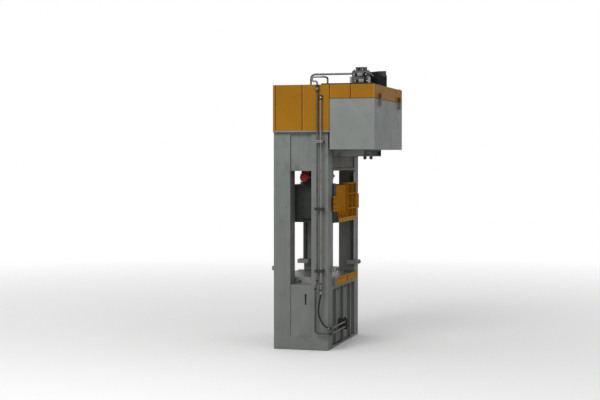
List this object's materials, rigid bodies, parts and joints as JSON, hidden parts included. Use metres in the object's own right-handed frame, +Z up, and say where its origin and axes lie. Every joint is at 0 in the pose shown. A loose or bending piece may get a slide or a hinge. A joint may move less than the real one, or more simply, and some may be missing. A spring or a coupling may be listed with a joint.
{
  "type": "hydraulic press",
  "caption": "Tall grey and yellow straight-side hydraulic press with a guided slide, slotted bolster, front oil tank and panelled drive on top.",
  "frame": {"origin": "middle of the base, at the level of the frame's foot", "axes": "+Z up, +X to the right of someone facing the front, -Y out of the front where the oil tank hangs"},
  "size_m": [3.2405, 2.564, 6.45],
  "materials": {
    "frame_paint": "light grey-green enamel, satin",
    "tank_paint": "light grey enamel, satin",
    "yellow_paint": "orange-yellow enamel, satin",
    "dark_paint": "dark grey enamel",
    "black_paint": "black powder coat",
    "motor_paint": "blue-grey enamel",
    "red_paint": "red enamel",
    "black_steel": "blackened and oiled steel",
    "machined_steel": "milled steel, oiled",
    "pipe_steel": "drawn steel pipe",
    "chrome_rod": "hard chrome",
    "cast_iron": "cast and machined iron",
    "hose_rubber": "black hose rubber"
  },
  "bodies": {
    "frame": {"side_frame_left": "frame_paint", "side_frame_right": "frame_paint", "crown_beam": "frame_paint", "bed_beam": "frame_paint", "bolster_plate": "machined_steel", "bolster_strip_left": "yellow_paint", "bolster_strip_right": "yellow_paint", "rail_foot_front_left": "frame_paint", "rail_foot_front_right": "frame_paint", "rail_foot_rear_left": "frame_paint", "rail_foot_rear_right": "frame_paint", "guide_rail_front_left": "black_steel", "guide_rail_front_right": "black_steel", "guide_rail_rear_left": "black_steel", "guide_rail_rear_right": "black_steel", "main_cylinder": "dark_paint", "gland_ring": "machined_steel", "prefill_valve": "dark_paint", "oil_tank": "tank_paint", "tank_bracket": "frame_paint", "shroud_left": "yellow_paint", "shroud_right": "yellow_paint", "shroud_rear": "yellow_paint", "shroud_front": "yellow_paint", "deck_plate": "frame_paint", "motor_left": "motor_paint", "motor_right": "motor_paint", "pump_left": "cast_iron", "pump_right": "cast_iron", "valve_manifold": "cast_iron", "cooler_cabinet": "black_paint", "top_pipe_main": "pipe_steel", "top_pipe_return": "pipe_steel", "side_pipe_main": "pipe_steel", "side_pipe_cushion": "pipe_steel", "side_pipe_flange": "black_steel", "pipe_clamp_low": "black_steel", "pipe_clamp_middle": "black_steel", "pipe_clamp_high": "black_steel", "cushion_hose": "hose_rubber", "bed_pipe_upper": "pipe_steel", "bed_pipe_lower": "pipe_steel", "pipe_elbow_upper": "black_steel", "pipe_elbow_lower": "black_steel", "bed_port_block": "black_steel", "lock_cylinder_left": "red_paint", "lock_cylinder_right": "red_paint", "cushion_cylinder": "cast_iron"},
    "slide": {"slide_frame": "yellow_paint", "piston_rod": "chrome_rod", "slide_shoe_front_left": "black_steel", "slide_shoe_front_right": "black_steel", "slide_shoe_rear_left": "black_steel", "slide_shoe_rear_right": "black_steel", "lock_plate_left": "dark_paint", "lock_plate_right": "dark_paint"},
    "lock_pin_left_body": {"lock_pin_left": "chrome_rod"},
    "lock_pin_right_body": {"lock_pin_right": "chrome_rod"},
    "cushion_rod_body": {"cushion_rod": "chrome_rod"},
    "fan": {"cooler_fan": "black_paint"}
  },
  "joints": [
    {"name": "slide_stroke", "type": "slide", "parent": "frame", "child": "slide", "axis": [0, 0, 1], "range_m": [-0.8, 0]},
    {"name": "lock_left", "type": "slide", "parent": "frame", "child": "lock_pin_left_body", "axis": [1, 0, 0], "range_m": [0, 0.13]},
    {"name": "lock_right", "type": "slide", "parent": "frame", "child": "lock_pin_right_body", "axis": [-1, 0, 0], "range_m": [0, 0.13]},
    {"name": "cushion_stroke", "type": "slide", "parent": "frame", "child": "cushion_rod_body", "axis": [0, 0, 1], "range_m": [0, 0.2]},
    {"name": "fan_spin", "type": "hinge", "parent": "frame", "child": "fan", "pos_m": [-0.5, -1.5425, 6.0425], "axis": [0, 1, 0], "continuous": true}
  ]
}
